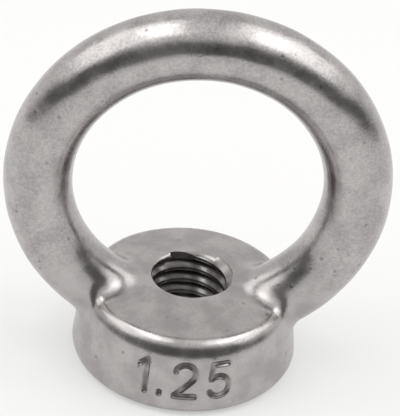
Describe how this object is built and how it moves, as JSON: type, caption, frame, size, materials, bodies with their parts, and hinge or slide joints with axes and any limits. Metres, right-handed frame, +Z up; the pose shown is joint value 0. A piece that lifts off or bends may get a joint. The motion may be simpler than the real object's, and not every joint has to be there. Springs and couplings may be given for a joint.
{
  "type": "lifting eye nut",
  "caption": "One-piece lifting eye nut: a round-section ring standing on a tapered round collar with a threaded through hole.",
  "frame": {"origin": "centre of the flat seat face, on the threaded hole's axis", "axes": "+Z up the threaded hole from the seat to the ring, ring in the XZ plane, eye open along Y"},
  "size_m": [0.0336, 0.02, 0.0344],
  "materials": {
    "stainless_steel": "cast stainless steel, tumbled to a satin polish, with fine pits"
  },
  "bodies": {
    "root": {"eye_nut": "stainless_steel"}
  },
  "joints": []
}
